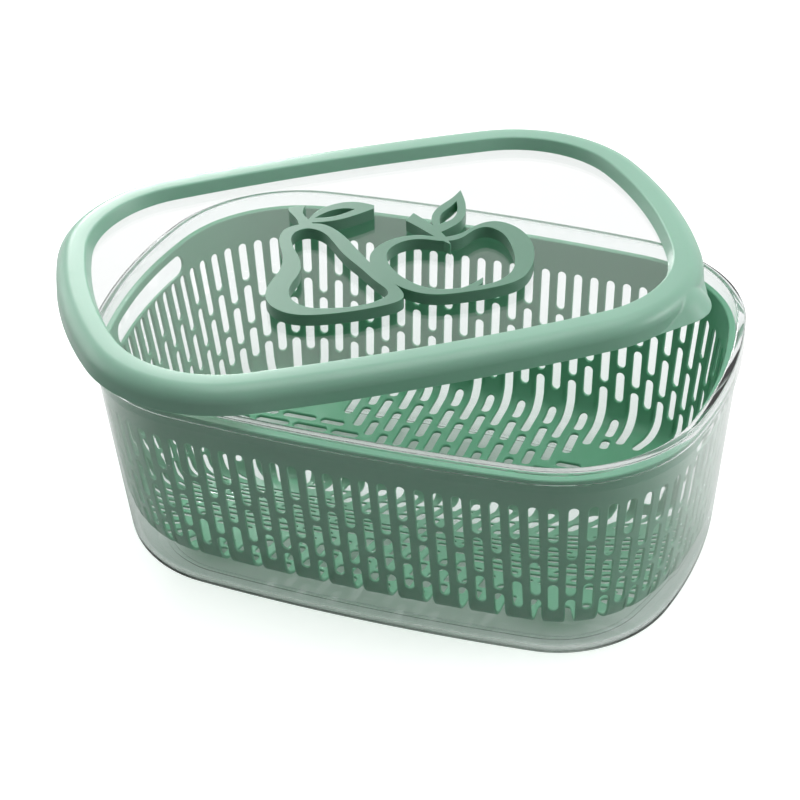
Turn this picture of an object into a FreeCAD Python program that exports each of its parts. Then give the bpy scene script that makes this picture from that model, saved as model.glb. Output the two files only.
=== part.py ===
import FreeCAD, Part
import math
import os

Vector = FreeCAD.Vector

# Produce keeper: a clear bin, a slotted basket that hangs inside it, and a
# windowed lid that lies askew on the rim with a pear and an apple in relief.
# Millimetres, Z up, origin under the middle of the bin.

# Shared outline of the bin: four shallow arcs joined by four round corners
length = 300.0
width = 207.0
side_radius = 1050.0
end_radius = 226.0
corner_radius = 69.0

# Clear bin
bin_height = 115.0
rim_width = 4.2
rim_round = 0.8
collar_height = 11.5
collar_step = 1.5
bin_outer_draft = 0.093
bin_inner_draft = 0.072
ledge_drop = 8.6
ledge_width = 1.4
bin_floor = 3.2
bin_inner_corner = 11.0
base_corner = 14.0
base_ring_width = 4.0
base_groove_width = 3.0
base_groove_depth = 1.2

# Flat facets that stand for the curves of the outline and the rounds of the sections
side_facets = 2
end_facets = 3
corner_facets = 6
rim_facets = 1
small_facets = 2
large_facets = 3

# Slotted basket
seat_clearance = 0.4
flange_thickness = 2.2
basket_wall = 1.8
basket_side_clearance = 0.4
basket_draft = 0.13
basket_floor_height = 18.0
basket_corner = 10.0

# Slots of the basket, in columns round the wall
column_count = 96
slot_width = 4.4
slot_web = 2.8
band_height = 15.6
short_share = 0.274
middle_share = 0.287
long_share = 0.416
low_share = 0.225
wrap_reach = 20.0
wrap_reach_corner = 9.0

# Slots of the basket floor, in two mirrored zones that meet on mitres
floor_pitch = 34.5
floor_stagger = 7.2
stagger_steps = 4
mitre_slope = 0.72
mitre_land = 3.0
shortest_slot = 12.0

# Grip hole at each end of the basket
grip_length = 74.0
grip_height = 10.0
grip_below_top = 4.1

# Lid frame, an upturned channel wider than the bin's rim
lid_overhang = 3.9
lid_height = 12.5
lid_draft = 0.4
lid_shoulder = 7.7
lid_skin = 2.0
crest_inset = 10.3
crest_round = 1.2
frame_inset = 13.5
recess_depth = 6.3
leg_width = 4.0
plug_inset = 4.9
plug_thickness = 2.2
plug_depth = 5.0
panel_thickness = 2.2
panel_lap = 3.7

# Thumb lip flared out of the lid's skirt at one corner
lip_side_start = (98.0, -100.5)
lip_side_end = (127.0, -93.0)
lip_corner = (138.0, -86.0)
lip_end_start = (142.0, -73.0)
lip_end_end = (147.5, -51.0)
lip_height = 8.0
lip_draw_in = 7.0
lip_thickness = 1.8

# Pose of the lid on the rim
lid_yaw = 35.0
lid_place = (-33.9, 37.3)

# Fruit relief on the lid's window
relief_height = 6.0
steps_per_point = 2


# Outline arcs

def outline_arcs():
    """Eight arcs as (centre, radius at the outer edge, first angle, last angle)."""
    half_length = length / 2
    half_width = width / 2
    side_centre = half_width - side_radius
    end_centre = half_length - end_radius
    reach_side = side_radius - corner_radius
    reach_end = end_radius - corner_radius
    span = math.hypot(end_centre, side_centre)
    along = (reach_side ** 2 - reach_end ** 2 + span ** 2) / (2 * span)
    across = math.sqrt(reach_side ** 2 - along ** 2)
    ux = end_centre / span
    uy = -side_centre / span
    corner_x = along * ux + across * uy
    corner_y = side_centre + along * uy - across * ux
    if corner_x < 0 or corner_y < 0:
        corner_x = along * ux - across * uy
        corner_y = side_centre + along * uy + across * ux
    side_turn = math.degrees(math.atan2(corner_x, corner_y - side_centre))
    end_turn = math.degrees(math.atan2(corner_y, corner_x - end_centre))
    quarter = [
        ((0, side_centre), side_radius, 90 - side_turn, 90),
        ((corner_x, corner_y), corner_radius, end_turn, 90 - side_turn),
        ((end_centre, 0), end_radius, 0, end_turn),
    ]
    arcs = []
    for centre, radius, first, last in quarter:
        arcs.append((centre, radius, first, last))
    for centre, radius, first, last in reversed(quarter):
        arcs.append(((centre[0], -centre[1]), radius, -last, -first))
    for centre, radius, first, last in quarter:
        arcs.append(((-centre[0], -centre[1]), radius, 180 + first, 180 + last))
    for centre, radius, first, last in reversed(quarter):
        arcs.append(((-centre[0], centre[1]), radius, 180 - last, 180 - first))
    return arcs


def on_arc(arc, angle, inset, z=0.0):
    centre, radius = arc[0], arc[1]
    turn = math.radians(angle)
    reach = radius - inset
    return Vector(centre[0] + reach * math.cos(turn), centre[1] + reach * math.sin(turn), z)


def outline_places():
    """The corners of the outline's flat facets, as (arc, angle)."""
    facets = {side_radius: side_facets, end_radius: end_facets, corner_radius: corner_facets}
    places = []
    for arc in outline_arcs():
        first, last = arc[2], arc[3]
        count = facets[arc[1]]
        for index in range(count):
            places.append((arc, last + (first - last) * index / count))
    return places


def spaced_places(count, offset, reference):
    """Even places round the outline as (arc, angle), measured along it at an inset."""
    arcs = outline_arcs()
    spans = [(arc[1] - reference) * math.radians(arc[3] - arc[2]) for arc in arcs]
    pitch = sum(spans) / count
    places = []
    for index in range(count):
        walked = (index + offset) * pitch
        number = 0
        while walked > spans[number] + 1e-6:
            walked = walked - spans[number]
            number = number + 1
        arc = arcs[number]
        turn = math.degrees(walked / (arc[1] - reference))
        places.append((arc, arc[3] - turn))
    return places


def slab(places, inset, low, high):
    """A flat plate with the bin's outline, drawn in by the inset."""
    corners = [on_arc(arc, angle, inset, low) for arc, angle in places]
    face = Part.Face(Part.makePolygon(corners + corners[:1]))
    return face.extrude(Vector(0, 0, high - low))


def ring(places, section):
    """A closed wall section of (inset, z) corners, taken round the outline."""
    rows = []
    for arc, angle in places:
        rows.append([on_arc(arc, angle, inset, z) for inset, z in section])
    faces = []
    for row, following in zip(rows, rows[1:] + rows[:1]):
        for index in range(len(section)):
            after = (index + 1) % len(section)
            low, high = (row[index], following[after])
            faces.append(Part.Face(Part.makePolygon([low, following[index], high, low])))
            faces.append(Part.Face(Part.makePolygon([low, high, row[after], low])))
    shell = Part.makeShell(faces)
    shell.sewShape()
    solid = Part.makeSolid(shell)
    if solid.Volume < 0:
        solid.reverse()
    return solid.removeSplitter()


def bend(centre, radius, first, last, facets):
    """A round of a section in flat facets, from one angle to another, 0 degrees inwards, 90 up."""
    points = []
    for index in range(facets + 1):
        turn = math.radians(first + (last - first) * index / facets)
        points.append((centre[0] + radius * math.cos(turn), centre[1] + radius * math.sin(turn)))
    return points


def corner_centre(start, draft, floor, radius):
    """Centre of the round between a drafted wall and a floor."""
    z = floor + radius
    inset = start[0] + draft * (start[1] - z) + radius * math.hypot(1, draft)
    return (inset, z)


# Clear bin

def make_bin():
    collar_low = bin_height - collar_height
    step_low = collar_low - collar_step
    ledge_z = bin_height - ledge_drop
    ledge_inset = rim_width + ledge_width
    outer = corner_centre((collar_step, step_low), bin_outer_draft, 0, base_corner)
    inner = corner_centre((ledge_inset, ledge_z), bin_inner_draft, bin_floor, bin_inner_corner)
    outer_lean = math.degrees(math.atan(bin_outer_draft))
    inner_lean = math.degrees(math.atan(bin_inner_draft))
    groove_outer = outer[0] + base_ring_width
    groove_inner = groove_outer + base_groove_width
    middle = groove_inner + base_groove_depth
    rim_low = bin_height - rim_round
    section = [
        *bend((rim_round, rim_low), rim_round, 180, 90, rim_facets),
        *bend((rim_width - rim_round, rim_low), rim_round, 90, 0, rim_facets),
        (rim_width, ledge_z),
        (ledge_inset, ledge_z),
        *bend(inner, bin_inner_corner, 180 + inner_lean, 270, small_facets),
        (middle, bin_floor),
        (middle, 0),
        (groove_inner, 0),
        (groove_inner, base_groove_depth),
        (groove_outer, base_groove_depth),
        (groove_outer, 0),
        *bend(outer, base_corner, 270, 180 + outer_lean, large_facets),
        (collar_step, step_low),
        (0, collar_low),
    ]
    places = outline_places()
    shell = ring(places, section)
    floor = slab(places, middle, 0, bin_floor)
    return shell.fuse(floor).removeSplitter()


# Slotted basket

def basket_levels():
    """Top of the basket, inner inset there, and the centre of its bottom round."""
    ledge_z = bin_height - ledge_drop
    top = ledge_z + flange_thickness
    outer_inset = rim_width + ledge_width + basket_side_clearance
    inner_inset = outer_inset + basket_wall * math.hypot(1, basket_draft)
    inner_inset = inner_inset + basket_draft * (ledge_z - top)
    centre = corner_centre((inner_inset, top), basket_draft, basket_floor_height, basket_corner)
    return top, inner_inset, centre


def columns():
    """The column places round the wall as (arc, angle), evenly spaced along it."""
    top, inner_inset, centre = basket_levels()
    return spaced_places(column_count, 0, inner_inset + basket_draft * band_height)


def radial_block(arc, angle, outer, inner, low, high, breadth):
    """A block across the wall at one column, between two insets and two heights."""
    block = Part.makeBox(inner - outer, breadth, high - low)
    block.translate(Vector(arc[1] - inner, -breadth / 2, low))
    block.rotate(Vector(0, 0, 0), Vector(0, 0, 1), angle)
    block.translate(Vector(arc[0][0], arc[0][1], 0))
    return block


def wall_slots():
    top, inner_inset, centre = basket_levels()
    start = top - band_height
    under = basket_floor_height - 2 * basket_wall
    outer = rim_width / 2
    field = start - basket_floor_height
    short_slot = short_share * field
    middle_slot = middle_share * field
    long_slot = long_share * field
    low_slot = low_share * field
    cutters = []
    for index, (arc, angle) in enumerate(columns()):
        on_corner = arc[1] == corner_radius
        deep = centre[0] + wrap_reach_corner
        if not on_corner:
            deep = centre[0] + wrap_reach - basket_corner / 2
        inner = centre[0]
        if index % 2 == 0:
            level = start
            for drop in (long_slot, short_slot):
                cutters.append(radial_block(arc, angle, outer, inner, level - drop, level, slot_width))
                level = level - drop - slot_web
            cutters.append(radial_block(arc, angle, outer, deep, under, level, slot_width))
        else:
            level = start
            for drop in (short_slot, middle_slot, low_slot):
                cutters.append(radial_block(arc, angle, outer, inner, level - drop, level, slot_width))
                level = level - drop - slot_web
    return cutters


def breaks(index):
    """Where the slots of a floor row end, stepped from row to row."""
    step = (abs(index) + 2) % stagger_steps
    first = floor_stagger * step - floor_pitch
    return [first + floor_pitch * turn for turn in range(8)]


def row_slots(index, across, inner_end, outer_end, along_x):
    """The slots of one floor row, mirrored to the four quarters of the floor."""
    cutters = []
    marks = breaks(index)
    low = basket_floor_height - 2 * basket_wall
    deep = 3 * basket_wall
    for first, last in zip(marks, marks[1:]):
        near = max(first + slot_web / 2, inner_end)
        far = min(last - slot_web / 2, outer_end)
        if far - near < shortest_slot:
            continue
        for side in (1, -1):
            start = near if side == 1 else -far
            if along_x:
                block = Part.makeBox(far - near, slot_width, deep,
                                     Vector(start, across - slot_width / 2, low))
            else:
                block = Part.makeBox(slot_width, far - near, deep,
                                     Vector(across - slot_width / 2, start, low))
            cutters.append(block)
    return cutters


def floor_slots():
    top, inner_inset, centre = basket_levels()
    cutters = []
    places = columns()
    quarter = column_count // 4
    limit = centre[0] + wrap_reach - basket_corner / 2 + slot_web
    for index in range(-quarter + 1, quarter):
        arc, angle = places[index % column_count]
        wall = on_arc(arc, angle, centre[0])
        if arc[1] != side_radius:
            continue
        inner_end = mitre_slope * abs(wall.x) + mitre_land
        outer_end = on_arc(arc, angle, limit).y
        cutters.extend(row_slots(index, wall.x, inner_end, outer_end, False))
    for index in range(-quarter + 1, quarter):
        arc, angle = places[(quarter + index) % column_count]
        wall = on_arc(arc, angle, centre[0])
        inner_end = abs(wall.y) / mitre_slope + mitre_land
        outer_end = on_arc(arc, angle, limit).x
        cutters.extend(row_slots(index, wall.y, inner_end, outer_end, True))
    return cutters


def grip_holes(top):
    """A long round-ended hole through each end wall."""
    radius = grip_height / 2
    half = grip_length / 2 - radius
    middle = top - grip_below_top - radius
    bar = Part.makeBox(length * 2, 2 * half, grip_height,
                       Vector(-length, -half, middle - radius))
    for side in (-half, half):
        end = Part.makeCylinder(radius, length * 2, Vector(-length, side, middle), Vector(1, 0, 0))
        bar = bar.fuse(end)
    return bar.removeSplitter()


def make_basket():
    top, inner_inset, centre = basket_levels()
    lean = math.degrees(math.atan(basket_draft))
    flange_outer = rim_width + seat_clearance
    ledge_z = bin_height - ledge_drop
    skin = basket_wall * math.hypot(1, basket_draft)
    under_flange = inner_inset + basket_draft * flange_thickness - skin
    underside = basket_floor_height - basket_wall
    section = [
        (flange_outer, top),
        (inner_inset, top),
        *bend(centre, basket_corner, 180 + lean, 270, small_facets),
        *bend(centre, basket_corner + basket_wall, 270, 180 + lean, small_facets),
        (under_flange, ledge_z),
        (flange_outer, ledge_z),
    ]
    reference = inner_inset + basket_draft * band_height
    places = spaced_places(column_count, 0.5, reference)
    floor = slab(places, centre[0], underside, basket_floor_height)
    shell = ring(places, section).fuse(floor).removeSplitter()
    cutters = wall_slots() + floor_slots()
    shell = shell.cut(cutters)
    return shell.cut(grip_holes(top))


# Lid

def placed(shape):
    """Lays a piece of the lid on the rim, askew."""
    shape.rotate(Vector(0, 0, 0), Vector(0, 0, 1), lid_yaw)
    shape.translate(Vector(lid_place[0], lid_place[1], bin_height))
    return shape


def lip_wire(draw, z):
    """The lip's edge at one height, drawn in towards the middle of the lid."""
    middle = Vector(lip_corner[0], lip_corner[1], 0)
    inward = Vector(-middle.x, -middle.y, 0).normalize() * draw
    points = []
    for x, y in (lip_side_start, lip_side_end, lip_corner, lip_end_start, lip_end_end):
        points.append(Vector(x, y, z) + inward)
    bend = Part.Arc(points[1], points[2], points[3]).toShape()
    back = points[0] * 0.5 + points[4] * 0.5
    back = Vector(back.x * 0.8, back.y * 0.8, z)
    edges = [
        Part.LineSegment(points[0], points[1]).toShape(),
        bend,
        Part.LineSegment(points[3], points[4]).toShape(),
        Part.LineSegment(points[4], back).toShape(),
        Part.LineSegment(back, points[0]).toShape(),
    ]
    return Part.Wire(edges)


def make_lip():
    outer = Part.makeLoft([lip_wire(0, 0), lip_wire(lip_draw_in, lip_height)], True, True)
    drop = lip_thickness
    inner = Part.makeLoft([lip_wire(drop, -drop), lip_wire(drop + lip_draw_in, lip_height - drop)],
                          True, True)
    return outer.cut(inner)


def make_frame():
    shoulder = (lid_shoulder - lid_overhang + lid_draft, lid_height - lid_shoulder)
    under = lid_height - lid_skin
    inner_radius = lid_shoulder - lid_skin
    recess_z = lid_height - recess_depth
    leg_outer = frame_inset - leg_width
    plug_low = lid_height - lid_skin - plug_depth
    plug_inner = plug_inset + plug_thickness
    crest_end = crest_inset + crest_round
    section = [
        (-lid_overhang, 0),
        *bend(shoulder, lid_shoulder, 180, 90, large_facets),
        *bend((crest_inset, lid_height - crest_round), crest_round, 90, 20, rim_facets),
        (frame_inset, recess_z),
        (leg_outer, recess_z),
        (leg_outer, under),
        (plug_inner, under),
        (plug_inner, plug_low),
        (plug_inset, plug_low),
        (plug_inset, under),
        *bend(shoulder, inner_radius, 90, 180, small_facets),
        (shoulder[0] - inner_radius, 0),
    ]
    places = outline_places()
    frame = ring(places, section)
    channel = slab(places, shoulder[0] - inner_radius, -lid_height, shoulder[1])
    lip = make_lip().cut(channel)
    above = slab(places, shoulder[0] - inner_radius + lid_skin, shoulder[1], lid_height)
    lip = lip.cut(above)
    return placed(frame.fuse(lip).removeSplitter())


def make_panel():
    top = lid_height - recess_depth
    return placed(slab(outline_places(), frame_inset - panel_lap, top - panel_thickness, top))


# Fruit relief

def curve_face(points):
    """A face inside one smooth closed curve."""
    curve = Part.BSplineCurve()
    curve.interpolate([Vector(x, y, 0) for x, y in points], PeriodicFlag=True)
    corners = curve.toShape().discretize(Number=len(points) * steps_per_point + 1)
    return Part.Face(Part.makePolygon(corners))


def run_face(runs):
    """A face bounded by smooth curves that meet at sharp points."""
    corners = []
    for index, run in enumerate(runs):
        following = runs[(index + 1) % len(runs)]
        points = [Vector(x, y, 0) for x, y in run + [following[0]]]
        corners.append(points[0])
        if len(points) == 2:
            continue
        curve = Part.BSplineCurve()
        curve.interpolate(points)
        steps = (len(points) - 1) * steps_per_point
        corners.extend(curve.toShape().discretize(Number=steps + 1)[1:-1])
    corners.append(corners[0])
    return Part.Face(Part.makePolygon(corners))


def raised(face):
    return face.extrude(Vector(0, 0, relief_height))


def pear():
    outer = curve_face([(-28, 32), (-37, 31), (-43, 22), (-45, 6), (-50, -8), (-58, -20),
                        (-61, -33), (-54, -46), (-38, -52), (-12, -53), (0, -49), (0, -38),
                        (-4, -24), (-8, -8), (-11, 8), (-15, 22), (-21, 30)])
    inner = curve_face([(-28, 27.5), (-34, 26), (-38, 18), (-38, 3), (-41, -12), (-48, -23),
                        (-50, -33), (-45, -43), (-33, -48), (-12, -48), (-6, -44), (-8, -32),
                        (-12, -18), (-16.5, -3), (-19, 12), (-23, 24)])
    stem = run_face([[(-31.5, 29), (-31, 40), (-32, 50)],
                     [(-23.5, 50), (-26.5, 42), (-25, 29)]])
    leaf = run_face([[(-27, 33), (-20, 42), (-10, 46.8), (1, 45.8)],
                     [(9, 39.5)],
                     [(8, 36.5), (-2, 33), (-14, 31)]])
    window = run_face([[(-22, 36.5), (-13, 41), (-5, 41)],
                       [(-1, 38.8), (-8, 36), (-15, 35)]])
    return [raised(outer.cut(inner)), raised(stem), raised(leaf.cut(window))]


def apple():
    outer = curve_face([(33, -1), (23, 4), (12, 5), (2, 1), (-5, -7), (-6.5, -19), (-3, -31),
                        (4, -43), (14, -50.5), (28, -53), (44, -53), (57, -49.5), (66, -39),
                        (71, -26), (72, -13), (68.5, -1), (61, 6), (52, 5), (43, 0)])
    inner = curve_face([(33, -5), (22, 0.5), (11, 0), (4, -6), (1.5, -16), (3, -27), (8, -38),
                        (16, -46), (28, -49), (44, -49), (54, -43), (60, -31), (62, -17),
                        (60.5, -4), (55, 2), (48, 0), (40, -5)])
    tail = run_face([[(24, -50), (33, -47.5)],
                     [(40.5, -43), (39, -47), (34, -50.5)]])
    stem = run_face([[(34.5, -9), (29, 1), (25, 10)],
                     [(20, 20)],
                     [(25.5, 26), (31, 12), (34, 0)]])
    leaf = run_face([[(31.5, 3), (32.5, 18), (39, 28), (47, 34)],
                     [(54, 41), (52.5, 27), (46, 12)]])
    window = run_face([[(35, 11.5), (38, 20.5), (44, 26)],
                       [(49, 31), (47, 22.5), (42, 14.5)]])
    return [raised(outer.cut(inner)), raised(tail), raised(stem), raised(leaf.cut(window))]


def make_relief():
    pieces = pear() + apple()
    relief = pieces[0].fuse(pieces[1:]).removeSplitter()
    relief.translate(Vector(0, 0, lid_height - recess_depth))
    return placed(relief)


os.makedirs("parts", exist_ok=True)
make_bin().exportStep("parts/clear_bin.step")
make_basket().exportStep("parts/basket.step")
make_frame().exportStep("parts/lid_frame.step")
make_panel().exportStep("parts/lid_window.step")
make_relief().exportStep("parts/fruit_relief.step")
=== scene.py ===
import math

import bmesh
import bpy
import numpy as np
from mathutils import Matrix, Vector
from mathutils.geometry import delaunay_2d_cdt


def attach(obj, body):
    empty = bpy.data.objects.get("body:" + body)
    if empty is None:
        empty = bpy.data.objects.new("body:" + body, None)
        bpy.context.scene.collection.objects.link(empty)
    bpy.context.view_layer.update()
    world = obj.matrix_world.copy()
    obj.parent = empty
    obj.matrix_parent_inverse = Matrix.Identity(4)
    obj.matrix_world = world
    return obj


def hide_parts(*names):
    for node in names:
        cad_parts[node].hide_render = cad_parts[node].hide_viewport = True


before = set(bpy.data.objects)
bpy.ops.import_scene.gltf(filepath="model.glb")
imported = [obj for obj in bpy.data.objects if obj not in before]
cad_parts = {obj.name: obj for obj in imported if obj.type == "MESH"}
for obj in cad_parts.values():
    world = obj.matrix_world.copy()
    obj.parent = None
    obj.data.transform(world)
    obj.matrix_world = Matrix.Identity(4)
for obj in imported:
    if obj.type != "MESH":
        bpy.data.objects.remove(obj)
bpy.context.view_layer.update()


# Clear bin. A deep tub of thick, water-clear styrene plastic, injection
# moulded in one piece: polished drafted walls, a stepped collar round the
# rim with a ledge inside it, and a foot ring under a flat floor.

def outline_arcs():
    """Twelve arcs (centre x, centre y, radius, first angle, last angle), clockwise from the far middle.
    Long sides and ends are shallow arcs, and each corner arc touches both of its neighbours inside."""
    half_length, half_width = 0.150, 0.1035
    side_radius, end_radius, corner_radius = 1.050, 0.226, 0.069
    side_y, end_x = half_width - side_radius, half_length - end_radius
    reach_side, reach_end = side_radius - corner_radius, end_radius - corner_radius
    span = math.hypot(end_x, side_y)
    along = (reach_side ** 2 - reach_end ** 2 + span ** 2) / (2 * span)
    across = math.sqrt(reach_side ** 2 - along ** 2)
    ux, uy = end_x / span, -side_y / span
    cx, cy = along * ux + across * uy, side_y + along * uy - across * ux
    side_turn = math.atan2(cx, cy - side_y)
    end_turn = math.atan2(cy, cx - end_x)
    up = math.pi / 2
    far_right = np.array([
        [0, side_y, side_radius, up, up - side_turn],
        [cx, cy, corner_radius, up - side_turn, end_turn],
        [end_x, 0, end_radius, end_turn, 0],
    ])
    mirrored = far_right[::-1, [0, 1, 2, 4, 3]] * [1, -1, 1, -1, -1]
    right = np.vstack([far_right, mirrored])
    left = right * [-1, -1, 1, 1, 1] - [0, 0, 0, math.pi, math.pi]
    return np.vstack([right, left])


ARCS = outline_arcs()


def around(turn, inset, reference=0.0):
    """Points x, y and the angle at a share of the way round the outline, drawn in by inset.
    Shares are even along the line that is drawn in by reference."""
    spans = (ARCS[:, 2] - reference) * (ARCS[:, 3] - ARCS[:, 4])
    ends = np.cumsum(spans)
    walked = (np.asarray(turn, float) % 1.0) * ends[-1]
    arc = np.minimum(np.searchsorted(ends, walked, side="right"), len(ARCS) - 1)
    angle = ARCS[arc, 3] - (walked - ends[arc] + spans[arc]) / (ARCS[arc, 2] - reference)
    reach = ARCS[arc, 2] - inset
    return ARCS[arc, 0] + reach * np.cos(angle), ARCS[arc, 1] + reach * np.sin(angle), angle


def bend(centre, radius, first, last, steps):
    """Points (inset, z) on an arc of a section, in degrees, 0 inwards and 90 up."""
    turn = np.radians(np.linspace(first, last, steps + 1))
    return np.stack([centre[0] + radius * np.cos(turn), centre[1] + radius * np.sin(turn)], 1)


def grid_faces(rows, columns, closed_rows=True, closed_columns=True):
    """Quads of a rows by columns grid of points, wrapped where it closes."""
    i = np.arange(rows if closed_rows else rows - 1)[:, None]
    j = np.arange(columns if closed_columns else columns - 1)[None, :]
    i2, j2 = (i + 1) % rows, (j + 1) % columns
    quads = np.stack([i * columns + j, i * columns + j2, i2 * columns + j2, i2 * columns + j], -1)
    return quads.reshape(-1, 4)


def swept(section, turns, closed=True, reference=0.0):
    """A section of (inset, z) points, clockwise with inset to the right, carried round the outline."""
    section = np.asarray(section)
    x, y, _ = around(turns[:, None], section[None, :, 0], reference)
    z = np.broadcast_to(section[None, :, 1], x.shape)
    return np.stack([x, y, z], -1).reshape(-1, 3), grid_faces(len(turns), len(section), True, closed)


def add_piece(name, parts, smooth=40.0, weld=2e-6):
    """One mesh object at the origin from parts of (points, faces), welded, smooth up to an angle."""
    points, faces, base = [], [], 0
    for part_points, part_faces in parts:
        points.append(np.asarray(part_points, float))
        faces.extend((np.asarray(part_faces) + base).tolist())
        base += len(part_points)
    mesh = bpy.data.meshes.new(name)
    mesh.from_pydata(np.concatenate(points), [], faces)
    work = bmesh.new()
    work.from_mesh(mesh)
    bmesh.ops.remove_doubles(work, verts=work.verts, dist=weld)
    bmesh.ops.dissolve_degenerate(work, edges=work.edges, dist=1e-7)
    work.to_mesh(mesh)
    work.free()
    mesh.polygons.foreach_set("use_smooth", np.ones(len(mesh.polygons), bool))
    mesh.set_sharp_from_angle(angle=math.radians(smooth))
    piece = bpy.data.objects.new(name, mesh)
    bpy.context.scene.collection.objects.link(piece)
    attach(piece, "root")
    return piece


def add_node(tree, kind, **values):
    """A shader node with its sockets set by name (spaces as underscores) or linked to another socket."""
    made = tree.nodes.new(kind)
    for key, value in values.items():
        name = key.replace("_", " ")
        if name in made.inputs:
            socket = made.inputs[name]
            if isinstance(value, bpy.types.NodeSocket):
                tree.links.new(value, socket)
            else:
                socket.default_value = value
        else:
            setattr(made, key, value)
    return made


def combined(tree, operation, *terms, clamp=False):
    """The result of a maths node over terms that are numbers or other nodes' sockets."""
    made = add_node(tree, "ShaderNodeMath", operation=operation, use_clamp=clamp)
    for socket, term in zip(made.inputs, terms):
        if isinstance(term, bpy.types.NodeSocket):
            tree.links.new(term, socket)
        else:
            socket.default_value = term
    return made.outputs["Value"]


def clear_plastic(name, tint, roughness, ior):
    """Clear moulded plastic: faint flow lines in the surface, fine rub marks in the polish."""
    material = bpy.data.materials.new(name)
    material.use_nodes = True
    tree = material.node_tree
    shader = tree.nodes["Principled BSDF"]
    place = add_node(tree, "ShaderNodeTexCoord").outputs["Object"]
    flow = add_node(tree, "ShaderNodeTexNoise", Vector=place, Scale=14.0, Detail=2.0)
    rubs = add_node(tree, "ShaderNodeTexNoise", Vector=place, Scale=260.0, Detail=4.0, Distortion=1.5)
    wear = add_node(tree, "ShaderNodeMapRange", Value=rubs.outputs["Fac"], From_Min=0.35, From_Max=0.8,
                    To_Min=roughness, To_Max=roughness * 2.5)
    bump = add_node(tree, "ShaderNodeBump", Strength=0.12, Distance=0.0006, Height=flow.outputs["Fac"])
    shader.inputs["Base Color"].default_value = (*tint, 1)
    shader.inputs["Transmission Weight"].default_value = 1.0
    shader.inputs["IOR"].default_value = ior
    tree.links.new(wear.outputs["Result"], shader.inputs["Roughness"])
    tree.links.new(bump.outputs["Normal"], shader.inputs["Normal"])
    path = tree.nodes.new("ShaderNodeLightPath")
    passed = combined(tree, "MAXIMUM", path.outputs["Is Shadow Ray"], path.outputs["Is Diffuse Ray"])
    let_through(tree, shader, passed, (0.93, 0.95, 0.94))
    return material


def let_through(tree, shader, rays, colour):
    """Lets some rays straight through with a tint, so that the plastic casts a coloured shadow."""
    straight = add_node(tree, "ShaderNodeBsdfTransparent", Color=(*colour, 1))
    either = tree.nodes.new("ShaderNodeMixShader")
    tree.links.new(rays, either.inputs["Fac"])
    tree.links.new(shader.outputs["BSDF"], either.inputs[1])
    tree.links.new(straight.outputs["BSDF"], either.inputs[2])
    tree.links.new(either.outputs["Shader"], tree.nodes["Material Output"].inputs["Surface"])


RIM_WALL, LEDGE_WIDE, LEDGE, BIN_TOP = 0.0042, 0.0014, 0.1064, 0.115


def bin_section():
    """Clockwise section of the bin: up the outside, over the rim, down the inside, across to the foot."""
    rim, top, soft, bevel = RIM_WALL, BIN_TOP, 0.0009, 0.0003
    ledge = RIM_WALL + LEDGE_WIDE
    outer_draft, inner_draft = 0.093, 0.072
    outer_lean, inner_lean = math.degrees(math.atan(outer_draft)), math.degrees(math.atan(inner_draft))
    base_r, floor, inner_r = 0.014, 0.0032, 0.011
    step_low, step, collar_low, collar_soft = 0.102, 0.0015, 0.1035, 0.0004
    foot_wide, groove_wide, groove_deep, lead = 0.004, 0.003, 0.0012, 0.0012
    outer_c = (step + outer_draft * (step_low - base_r) + base_r * math.hypot(1, outer_draft), base_r)
    inner_z = floor + inner_r
    inner_c = (ledge + inner_draft * (LEDGE - inner_z) + inner_r * math.hypot(1, inner_draft), inner_z)
    groove_out = outer_c[0] + foot_wide
    groove_in = groove_out + groove_wide
    return np.vstack([
        [[groove_in + lead, 0.0], [groove_in, 0.0], [groove_in, groove_deep]],
        [[groove_out, groove_deep], [groove_out, 0.0]],
        bend(outer_c, base_r, 270, 180 + outer_lean, 14),
        [[step, step_low], [collar_soft, collar_low - collar_soft], [0.0, collar_low + collar_soft / 2]],
        bend((soft, top - soft), soft, 180, 90, 4),
        bend((rim - soft, top - soft), soft, 90, 0, 4),
        [[rim, LEDGE + bevel], [rim + bevel, LEDGE]],
        [[ledge - bevel, LEDGE], [ledge, LEDGE - bevel]],
        bend(inner_c, inner_r, 180 + inner_lean, 270, 12),
        [[groove_in + lead, floor]],
    ])


def cap(inset, z, turns, up=True):
    """A flat many-sided face across the outline."""
    x, y, _ = around(turns, inset)
    points = np.stack([x, y, np.full_like(x, z)], 1)
    order = np.arange(len(turns))[None, :]
    return points, order[:, ::-1] if up else order


smooth_turns = np.arange(288) / 288
section = bin_section()
clear_bin = add_piece("clear_bin", [
    swept(section, smooth_turns, closed=False),
    cap(section[-1, 0], section[-1, 1], smooth_turns, up=True),
    cap(section[0, 0], section[0, 1], smooth_turns, up=False),
])
clear_bin.data.materials.append(clear_plastic("clear_styrene", (0.965, 0.985, 0.985), 0.012, 1.49))
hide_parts("clear_bin")


# Slotted basket. A green polypropylene liner, moulded in one piece with
# open slots all round its wall and over its floor, so that water drains.
# Its flange hangs on the bin's ledge, and each end has a long grip hole.

TOP, FLOOR, ROUND, WALL = 0.1086, 0.018, 0.010, 0.0018
DRAFT, GAP = 0.13, 0.0004
LEAN = math.atan(DRAFT)
INNER = RIM_WALL + LEDGE_WIDE + GAP + WALL * math.hypot(1, DRAFT) + DRAFT * (LEDGE - TOP)
ROUND_Z = FLOOR + ROUND
ROUND_IN = INNER + DRAFT * (TOP - ROUND_Z) + ROUND * math.hypot(1, DRAFT)
STRAIGHT = (TOP - ROUND_Z + ROUND * math.sin(LEAN)) / math.cos(LEAN)
WALL_END = STRAIGHT + ROUND * (math.pi / 2 - LEAN)

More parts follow.
